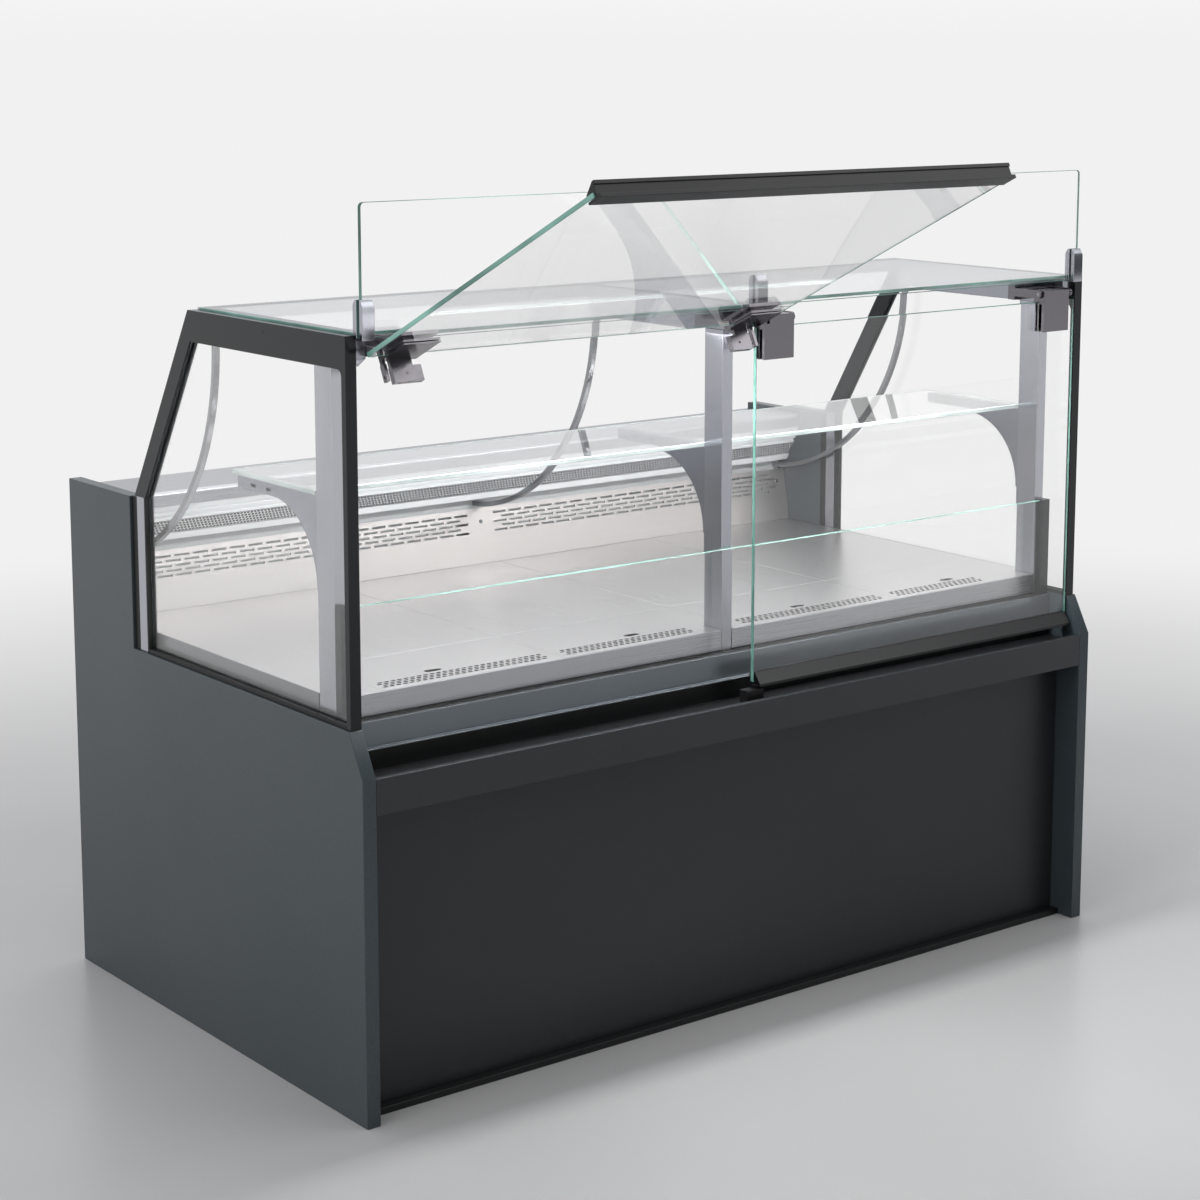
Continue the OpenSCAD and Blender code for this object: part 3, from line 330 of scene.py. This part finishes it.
# Moulded ABS or EPDM rubber: dark, with a fine spark-eroded grain 1.2 mm across.
def mouldedBlack(name, low, high, rough):
    material, tree, shader, place = newMaterial(name, {"Specular IOR Level": 0.4})
    grain = addNode(tree, "ShaderNodeTexNoise", {"Scale": 1 / 0.0012, "Detail": 2.0}, {"Vector": place})
    bloom = addNode(tree, "ShaderNodeTexNoise", {"Scale": 9.0, "Detail": 3.0}, {"Vector": place})
    twoTones(tree, shader, bloom.outputs["Fac"], low, high)
    tree.links.new(between(tree, grain.outputs["Fac"], rough - 0.06, rough + 0.06),
                   shader.inputs["Roughness"])
    relief(tree, shader, grain.outputs["Fac"], 0.00015, 0.3)
    return material


# Float glass: clear and smooth, with a faint film of handling. Lamps shine through it.
def floatGlass(name, tint, rough):
    material, tree, shader, place = newMaterial(name, {"Base Color": fromHex(tint), "IOR": 1.45,
                                                       "Transmission Weight": 1.0})
    film = addNode(tree, "ShaderNodeTexNoise", {"Scale": 6.0, "Detail": 4.0, "Roughness": 0.6},
                   {"Vector": place})
    tree.links.new(between(tree, film.outputs["Fac"], 0.0, rough), shader.inputs["Roughness"])
    path = addNode(tree, "ShaderNodeLightPath")
    clear = addNode(tree, "ShaderNodeBsdfTransparent", {"Color": (0.95, 0.97, 0.96, 1.0)})
    mix = addNode(tree, "ShaderNodeMixShader", None,
                  {0: path.outputs["Is Shadow Ray"], 1: shader.outputs["BSDF"], 2: clear.outputs["BSDF"]})
    tree.links.new(mix.outputs["Shader"], tree.nodes["Material Output"].inputs["Surface"])
    return material


# Ground and polished edge of float glass: iron in the glass shows deep green along it,
# broken into lighter and darker lengths.
def greenEdge(name, low, high):
    material, tree, shader, place = newMaterial(name, {"Roughness": 0.18, "IOR": 1.5})
    shade = addNode(tree, "ShaderNodeTexNoise", {"Scale": 3.5, "Detail": 3.0, "Roughness": 0.7},
                    {"Vector": place})
    twoTones(tree, shader, between(tree, shade.outputs["Fac"], 0.0, 1.0), low, high)
    return material


# Drawn copper, dulled by handling.
def bareCopper(name, low, high):
    material, tree, shader, place = newMaterial(name, {"Metallic": 1.0})
    tarnish = addNode(tree, "ShaderNodeTexNoise", {"Scale": 22.0, "Detail": 5.0}, {"Vector": place})
    twoTones(tree, shader, tarnish.outputs["Fac"], low, high)
    tree.links.new(between(tree, tarnish.outputs["Fac"], 0.25, 0.5), shader.inputs["Roughness"])
    return material


# Opal polycarbonate light tube: an even glow, slightly weaker at its seams.
def opalTube(name):
    material, tree, shader, place = newMaterial(name, {"Base Color": fromHex("#f5f7f4"), "Roughness": 0.4,
                                                       "Emission Color": fromHex("#fdfbf4")})
    bands = addNode(tree, "ShaderNodeTexWave", {"Scale": 4.0, "Distortion": 0.4}, {"Vector": place})
    glow = addNode(tree, "ShaderNodeMapRange", {"To Min": 1.8, "To Max": 2.2},
                   {"Value": bands.outputs["Fac"]})
    tree.links.new(glow.outputs["Result"], shader.inputs["Emission Strength"])
    return material


alongX = (0.30, 0.0007, 0.0007)
alongY = (0.0007, 0.30, 0.0007)
alongZ = (0.0007, 0.0007, 0.30)

finishes = {
    "endLaminate": pressedLaminate("endLaminate", "#2b3237", "#40494e", 0.32),
    "frontLaminate": pressedLaminate("frontLaminate", "#1d1e21", "#242629", 0.36),
    "bandLaminate": pressedLaminate("bandLaminate", "#202225", "#27292c", 0.32),
    "framePaint": powderCoat("framePaint", "#080b0f", "#0f1317", 0.2),
    "ledgePaint": powderCoat("ledgePaint", "#686e73", "#7b8187", 0.24, 0.6),
    "rearPaint": powderCoat("rearPaint", "#6f757b", "#80868c", 0.45),
    "whiteCoat": powderCoat("whiteCoat", "#c3c6c8", "#d2d4d5", 0.4),
    # Painted shade: this dark finish goes on the honeycomb's tube walls and the punched slots' turned-down
    # lips, for the shade inside the holes; that metal is the same as round the holes.
    "holeShade": powderCoat("holeShade", "#131516", "#1c1f20", 0.5),
    "stainlessLong": brushedMetal("stainlessLong", "#9fa0a4", "#b0b1b5", 0.24, alongX),
    "liningSteel": brushedMetal("liningSteel", "#7c7d80", "#949598", 0.26, alongZ),
    "deckSteel": brushedMetal("deckSteel", "#bdbcbd", "#d2d1d1", 0.26, alongY),
    "ductSteel": brushedMetal("ductSteel", "#bcb8b7", "#cfcbca", 0.38, alongX),
    "uprightAluminium": anodised("uprightAluminium", "#a0a2a9", "#b0b2b9", 0.2),
    "railAluminium": anodised("railAluminium", "#a6a9ae", "#bcbec3", 0.24),
    "armAluminium": anodised("armAluminium", "#9496a0", "#a6a8af", 0.2),
    "barSteel": brushedMetal("barSteel", "#86878a", "#a2a3a6", 0.08, alongZ),
    "hingeAlloy": brushedMetal("hingeAlloy", "#716e72", "#858287", 0.15, alongX),
    # Painted highlight: the honeycomb foil's front rims are drawn as this pale coat for their bright look;
    # the foil is the same as in the dark tube walls.
    "honeyRimHighlight": powderCoat("honeyRimHighlight", "#d9dbdd", "#e8eaeb", 0.3),
    # Painted highlight: the outlet cover is stainless steel, drawn as this pale satin coat for its bright
    # sheen.
    "outletPaintedSheen": powderCoat("outletPaintedSheen", "#dcdee0", "#e8eaeb", 0.28),
    "zinc": galvanisedSteel("zinc", "#8f9498", "#b7bbbe", 0.45),
    "blackPlastic": mouldedBlack("blackPlastic", "#0d0e0f", "#161719", 0.34),
    "handleGrey": powderCoat("handleGrey", "#07080a", "#0c0d0f", 0.32),
    "rubber": mouldedBlack("rubber", "#08080a", "#111113", 0.5),
    "greenRocker": mouldedBlack("greenRocker", "#2f8f45", "#3fa556", 0.25),
    "copper": bareCopper("copper", "#a9663f", "#c98a5c"),
    "opal": opalTube("opal"),
    "glassFace": floatGlass("glassFace", "#ffffff", 0.01),
    "glassEdge": greenEdge("glassEdge", "#123b33", "#84b5a9"),
    # Painted shade: the side panes' edges are drawn near black for where they sit in the frames' grooves; the
    # glass is the same green-edged float glass as the other panes.
    "groovedEdgeShade": greenEdge("groovedEdgeShade", "#0f1615", "#252f2e"),
    # Painted highlight: the shelf pane's edge is drawn pale grey for its lit look; the glass is the same
    # green-edged float glass.
    "paleEdgeHighlight": greenEdge("paleEdgeHighlight", "#7d8886", "#c3cac9"),
}
print("finishes made:", len(finishes))


def newPiece(name, points, faces, materials, body, stands=(), marks=None):
    mesh = bpy.data.meshes.new(name)
    mesh.from_pydata(np.asarray(points, float).tolist(), [], faces)
    for m in materials:
        mesh.materials.append(finishes[m])
    if marks is not None:
        mesh.polygons.foreach_set("material_index", marks)
    piece = bpy.data.objects.new(name, mesh)
    scene.collection.objects.link(piece)
    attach(piece, body)
    if stands:
        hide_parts(*stands)
    return piece


roundSet = {
    "weld": 1e-6,
    "flat": 1.0,  # degrees below which two triangles are one face
    "soft": 32,  # below which an edge is shaded smooth
    "sharp": 40,  # above which an edge gets its round
    "segments": 2,
}


# A copy of a CAD piece with its loose triangles joined into whole faces and its edges
# eased by a small round, as a saw cut, an extrusion or a fold leaves them.
def eased(node, finish, width, s):
    work = bmesh.new()
    work.from_mesh(nodes[node].data)
    bmesh.ops.remove_doubles(work, verts=work.verts, dist=s["weld"])
    bmesh.ops.dissolve_limit(work, angle_limit=math.radians(s["flat"]), verts=work.verts,
                             edges=work.edges)
    for f in work.faces:
        f.smooth = True
    for e in work.edges:
        e.smooth = len(e.link_faces) == 2 and e.calc_face_angle(0.0) < math.radians(s["soft"])
    mesh = bpy.data.meshes.new(node + "_eased")
    work.to_mesh(mesh)
    work.free()
    mesh.materials.clear()
    mesh.materials.append(finishes[finish])
    piece = bpy.data.objects.new(node + "_eased", mesh)
    scene.collection.objects.link(piece)
    bevel = piece.modifiers.new("round", "BEVEL")
    bevel.width = width
    bevel.segments = s["segments"]
    bevel.limit_method = "ANGLE"
    bevel.angle_limit = math.radians(s["sharp"])
    bevel.harden_normals = True
    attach(piece, bodyOf[node])
    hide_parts(node)
    return piece


easedSet = {  # node: (finish, edge round in metres)
    "end_panel_left": ("endLaminate", 0.0012), "end_panel_right": ("endLaminate", 0.0012),
    "fascia_band": ("bandLaminate", 0.0010), "front_panel": ("frontLaminate", 0.0010),
    "plinth_strip": ("blackPlastic", 0.0010), "sill_ledge": ("ledgePaint", 0.0005),
    "rest_channel": ("blackPlastic", 0.0004), "thermal_break": ("blackPlastic", 0.0006),
    "front_lip": ("stainlessLong", 0.0005), "worktop": ("stainlessLong", 0.0012),
    "outlet_cover": ("outletPaintedSheen", 0.0006), "side_frame_left": ("framePaint", 0.0012),
    "side_frame_right": ("framePaint", 0.0012), "side_posts": ("uprightAluminium", 0.0010),
    "columns": ("uprightAluminium", 0.0014), "top_arms": ("armAluminium", 0.0014),
    "shelf_brackets": ("armAluminium", 0.0010), "rear_supports": ("barSteel", 0.0016),
    "rear_rail": ("railAluminium", 0.0005), "upstand_clamps": ("uprightAluminium", 0.0008),
    "riser_holders": ("framePaint", 0.0006), "hinge_brackets": ("hingeAlloy", 0.0008),
    "left_pane_fittings": ("hingeAlloy", 0.0008), "right_pane_fittings": ("hingeAlloy", 0.0008),
    "left_pane_handle": ("handleGrey", 0.0005), "right_pane_handle": ("handleGrey", 0.0005),
    "rubber_parts": ("rubber", 0.0008), "controller": ("blackPlastic", 0.0006),
    "light_switch": ("greenRocker", 0.0005), "terminal_box": ("blackPlastic", 0.0020),
    "front_trays": ("deckSteel", 0.0014), "rear_trays": ("deckSteel", 0.0014),
}
for node, (finish, width) in easedSet.items():
    eased(node, finish, width, roundSet)
print("eased pieces:", len(easedSet))

plainSet = {  # CAD pieces shown as they are
    "base_frame": "zinc", "levelling_feet": "blackPlastic", "tank": "whiteCoat", "rear_panel": "rearPaint",
    "duct_panel": "ductSteel", "duct_screws": "barSteel", "tray_rails": "zinc", "side_linings": "liningSteel",
    "fan_plate": "zinc", "fan_motors": "blackPlastic",
    "fan_left": "blackPlastic", "fan_centre": "blackPlastic", "fan_right": "blackPlastic",
    "evaporator_fins": "railAluminium", "evaporator_tubes": "copper", "drain_outlet": "zinc",
    "light_tube": "opal", "hinge_pins": "barSteel",
}
for node, finish in plainSet.items():
    mesh = nodes[node].data
    if not mesh.materials:
        mesh.materials.append(finishes[finish])
    for k in range(len(mesh.materials)):
        mesh.materials[k] = finishes[finish]


glassSet = {
    "arris": 0.0008,
    # Painted shade on the side panes' edges, in the frames' grooves; painted highlight on the shelf pane's
    # edge.
    "edges": {"side_glass_left": "groovedEdgeShade", "side_glass_right": "groovedEdgeShade",  # dark in their grooves
              "shelf_glass": "paleEdgeHighlight"},
    "nodes": ("side_glass_left", "side_glass_right", "shelf_glass", "top_glass", "upstand_glass",
              "riser_glass", "left_pane_glass", "right_pane_glass"),
}


# A pane's outline is drawn in from its edges by d: each corner moves along the two edges'
# inward normals, by d over one plus the cosine of the angle between them.
def drawnIn(loop, d):
    ahead = np.roll(loop, -1, 0) - loop
    ahead /= np.linalg.norm(ahead, axis=1)[:, None]
    inward = np.c_[-ahead[:, 1], ahead[:, 0]]
    before = np.roll(inward, 1, 0)
    return loop + d * (inward + before) / (1 + (inward * before).sum(1))[:, None]


# A pane is four loops round its edge: the face's border, the two rims of the ground edge,
# and the other face's border. The plane comes from the CAD pane's own spread of points.
def groundPane(node, s):
    points = np.array([v.co for v in nodes[node].data.vertices])
    middle = (points.min(0) + points.max(0)) / 2
    across = np.linalg.svd(points - points.mean(0), full_matrices=False)[2]
    normal = across[2] * np.sign(across[2][np.argmax(np.abs(across[2]))])
    along = np.cross(normal, [0, 0, 1]) if abs(normal[2]) < 0.9 else np.array([1.0, 0, 0])
    along /= np.linalg.norm(along)
    up = np.cross(normal, along)
    flat = np.unique(np.round((points - middle) @ np.c_[along, up], 6), axis=0)
    loop = flat[np.argsort(np.arctan2(flat[:, 1] - flat[:, 1].mean(), flat[:, 0] - flat[:, 0].mean()))]
    half = np.abs((points - middle) @ normal).max()
    inner = drawnIn(loop, s["arris"])
    rings = [(inner, -half), (loop, -half + s["arris"]), (loop, half - s["arris"]), (inner, half)]
    made = np.concatenate([middle + r @ np.stack([along, up]) + h * normal for r, h in rings])
    n = len(loop)
    i, j = np.arange(n), np.roll(np.arange(n), -1)
    faces = [list(range(n))[::-1], list(range(3 * n, 4 * n))]
    for k in range(3):
        faces += np.c_[k * n + i, k * n + j, (k + 1) * n + j, (k + 1) * n + i].tolist()
    marks = [0, 0] + [1] * (3 * n)
    edge = s["edges"].get(node, "glassEdge")
    return newPiece(node + "_pane", made, faces, ("glassFace", edge), bodyOf[node], (node,), marks)


for node in glassSet["nodes"]:
    groundPane(node, glassSet)
print("panes made:", len(glassSet["nodes"]))


honeySet = {
    "depth": 0.016,
    "rows": 5,
    "wall": 0.0010,
    "least": 0.3,  # a cell that the strip's edge leaves narrower than this many radii is dropped
}


# Honeycomb: six-sided tubes side by side. A corner of a cell is the cell's middle plus its
# radius times the cosine and sine of 30, 90, ... degrees; rows are 1.5 radii apart and
# every second row is set over by half a cell.
def makeHoneycomb(s):
    low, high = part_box("honeycomb")
    slope = np.array([high.y - low.y - s["depth"], low.z - high.z])
    tall = np.linalg.norm(slope)
    radius = tall / (1.5 * s["rows"] + 0.5)
    pitch = math.sqrt(3) * radius
    cols = int((high.x - low.x) / pitch) + 2
    row, col = np.meshgrid(np.arange(-1, s["rows"] + 1), np.arange(-1, cols), indexing="ij")
    cx = (col * pitch + (row % 2) * pitch / 2).ravel()
    cv = (radius + row * 1.5 * radius).ravel()
    turn = np.radians(30 + 60 * np.arange(6))
    ring = np.c_[np.cos(turn), np.sin(turn)]
    outer = np.stack([cx, cv], 1)[:, None] + radius * ring
    inner = np.stack([cx, cv], 1)[:, None] + (radius - s["wall"]) * ring
    for loop in (outer, inner):
        loop[..., 0] = np.clip(loop[..., 0], 0.0, high.x - low.x)
        loop[..., 1] = np.clip(loop[..., 1], 0.0, tall)
    keep = (np.ptp(inner, axis=1) > radius * s["least"]).all(1)
    outer, inner = outer[keep], inner[keep]
    place = np.concatenate([outer, inner, inner], 1)
    back = np.concatenate([np.zeros((len(outer), 12)), np.full((len(outer), 6), s["depth"])], 1)
    share = place[..., 1] / tall
    made = np.stack([low.x + place[..., 0], low.y + slope[0] * share + back, high.z + slope[1] * share], -1)
    base = 18 * np.arange(len(outer))[:, None, None]
    i, j = np.arange(6), (np.arange(6) + 1) % 6
    quads = np.concatenate([np.c_[i, j, j + 6, i + 6], np.c_[i + 6, j + 6, j + 12, i + 12]])
    faces = (base + quads).reshape(-1, 4).tolist()
    # Each cell's front rim takes the pale coat, a painted highlight, and its tube walls the dark finish,
    # painted shade inside the cell; rims and walls are the one foil.
    marks = [0] * 6 + [1] * 6
    return newPiece("honeycomb_cells", made.reshape(-1, 3), faces, ("honeyRimHighlight", "holeShade"), "case",
                    ("honeycomb",), marks * len(outer))


makeHoneycomb(honeySet)

grilleSet = {"rows": 4, "slot": (0.0092, 0.0056), "pitch": 0.0132, "lip": 0.006}


# Punched strip: each slot is a cell of the sheet with a hole in its middle, drawn as four
# borders round the hole and a lip turned down at each side. Rows step half a pitch aside.
def punchedStrip(low, high, s):
    wide, deep = high.x - low.x, high.y - low.y
    stepY = deep / s["rows"]
    count = int(wide / s["pitch"]) - 1
    spare = (wide - (count + 0.5) * s["pitch"]) / 2
    row, col = np.meshgrid(np.arange(s["rows"]), np.arange(count), indexing="ij")
    x0 = low.x + spare + col * s["pitch"] + (row % 2) * s["pitch"] / 2
    y0 = low.y + row * stepY
    cell = np.array([[0, 0], [s["pitch"], 0], [s["pitch"], stepY], [0, stepY]])
    gapX, gapY = (s["pitch"] - s["slot"][0]) / 2, (stepY - s["slot"][1]) / 2
    hole = np.array([[gapX, gapY], [s["pitch"] - gapX, gapY], [s["pitch"] - gapX, stepY - gapY],
                     [gapX, stepY - gapY]])
    corner = np.stack([x0, y0], -1).reshape(-1, 1, 2)
    flat = np.concatenate([corner + cell, corner + hole, corner + hole], 1)
    tall = np.concatenate([np.full(8, high.z), np.full(4, high.z - s["lip"])])
    points = np.concatenate([flat, np.broadcast_to(tall, flat.shape[:2])[..., None]], 2).reshape(-1, 3)
    i, j = np.arange(4), (np.arange(4) + 1) % 4
    quads = np.concatenate([np.c_[i, j, j + 4, i + 4], np.c_[i + 4, j + 4, j + 8, i + 8]])
    faces = (12 * np.arange(len(corner))[:, None, None] + quads).reshape(-1, 4).tolist()
    ends = []
    for r in range(s["rows"]):  # plain ends of each row, and the strip's rim
        left = low.x + spare + (r % 2) * s["pitch"] / 2
        right = left + count * s["pitch"]
        for a, b in ((low.x, left), (right, high.x)):
            ends += [(a, low.y + r * stepY, high.z), (b, low.y + r * stepY, high.z),
                     (b, low.y + (r + 1) * stepY, high.z), (a, low.y + (r + 1) * stepY, high.z)]
    # The turned-down lips take the dark finish, painted shade inside the slots; the sheet round them is deck
    # steel.
    marks = [0, 0, 0, 0, 1, 1, 1, 1] * len(corner) + [0] * (len(ends) // 4)
    faces += (len(points) + np.arange(len(ends)).reshape(-1, 4)).tolist()
    return np.concatenate([points, ends]), faces, marks


def makeGrilles(s):
    points = np.array([v.co for v in nodes["return_grilles"].data.vertices])
    low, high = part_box("return_grilles")
    edges = np.unique(np.round(points[:, 0], 5))
    allPoints, allFaces, allMarks = np.zeros((0, 3)), [], []
    for a, b in zip(edges[::2], edges[1::2]):
        made, faces, marks = punchedStrip(Vector((a, low.y, low.z)), Vector((b, high.y, high.z)), s)
        allFaces += (np.array(faces) + len(allPoints)).tolist()
        allMarks += marks
        allPoints = np.concatenate([allPoints, made])
    newPiece("return_slots", allPoints, allFaces, ("deckSteel", "holeShade"), "case", ("return_grilles",),
             allMarks)


makeGrilles(grilleSet)
print("sheets made")


# A screw head is a half profile spun about its axis: a low dome, a rim and a round socket.
def spun(profile, centre, axis, sides=20):
    axis = Vector(axis).normalized()
    turn = np.array(axis.to_track_quat("Z", "Y").to_matrix())
    angle = 2 * np.pi * np.arange(sides) / sides
    profile = np.asarray(profile, float)
    rings = np.stack([profile[:, None, 0] * np.cos(angle), profile[:, None, 0] * np.sin(angle),
                      np.repeat(profile[:, 1:2], sides, 1)], -1)
    points = rings.reshape(-1, 3) @ turn.T + np.array(centre)
    i = np.arange(sides)
    j = (i + 1) % sides
    faces = [list(range(sides))[::-1]]
    for k in range(len(profile) - 1):
        faces += np.c_[k * sides + i, k * sides + j, (k + 1) * sides + j, (k + 1) * sides + i].tolist()
    faces.append(list(range((len(profile) - 1) * sides, len(profile) * sides)))
    return points, faces


def joined(parts):
    allPoints, allFaces = np.zeros((0, 3)), []
    for points, faces in parts:
        allFaces += [[k + len(allPoints) for k in f] for f in faces]
        allPoints = np.concatenate([allPoints, points])
    return allPoints, allFaces


screwSet = {
    "radius": 0.0042,
    "rise": 0.0016,
    "socket": 0.0019,
    "root": -0.0004,  # starts under the surface, so that no gap shows
    "back": 0.2555,  # from the frame's front edge
    "down": 0.016,  # from its top
    "sunk": 0.0012,  # the frame's own edge round
}


def screwAt(centre, axis, s):
    r, h, q = s["radius"], s["rise"], s["socket"]
    dome = [(r, s["root"]), (r, 0.35 * h), (0.8 * r, 0.8 * h), (1.15 * q, h), (q, 0.9 * h), (q, 0.1 * h)]
    return spun(dome, centre, axis)


# The side frames' top screws, one on each outer face.
def makeFrameScrews(s):
    parts = []
    for node, side in (("side_frame_left", -1), ("side_frame_right", 1)):
        low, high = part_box(node)
        face = low.x if side < 0 else high.x
        centre = (face - side * s["sunk"], low.y + s["back"], high.z - s["down"])
        parts.append(screwAt(centre, (side, 0, 0), s))
    points, faces = joined(parts)
    newPiece("frame_screws", points, faces, ("blackPlastic",), "case")


makeFrameScrews(screwSet)

controlSet = {
    "window": (0.070, 0.028),
    "from": 0.044,  # the window's start from the plate's low end
    "keys": (0.124, 0.144, 0.164),
    "keyRadius": 0.006,
    "rim": 0.0015,
    "root": -0.0004,
}


# A smoked window and three round keys on the control plate. The window is two loops, a
# rim on the plate and a slightly smaller one that stands proud, joined by a sloping border.
def makeControls(s):
    low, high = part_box("controller")
    middle = (low.z + high.z) / 2
    wide, tall = s["window"]
    square = np.array([[0, -0.5], [1, -0.5], [1, 0.5], [0, 0.5]])
    loops = []
    for inset, proud in ((0.0, s["root"]), (s["rim"], s["rim"])):
        x = low.x + s["from"] + inset + square[:, 0] * (wide - 2 * inset)
        z = middle + square[:, 1] * (tall - 2 * inset)
        loops.append(np.c_[x, np.full(4, high.y + proud), z])
    i, j = np.arange(4), (np.arange(4) + 1) % 4
    faces = [[4, 7, 6, 5]] + np.c_[i, i + 4, j + 4, j].tolist()
    newPiece("control_window", np.concatenate(loops), faces, ("blackPlastic",), "case")
    r = s["keyRadius"]
    dome = [(r, s["root"]), (r, 0.2 * r), (0.83 * r, 0.3 * r), (0.16 * r, 0.32 * r)]
    points, faces = joined([spun(dome, (low.x + x, high.y, middle), (0, 1, 0)) for x in s["keys"]])
    newPiece("control_keys", points, faces, ("rearPaint",), "case")


makeControls(controlSet)
print("fastenings made")
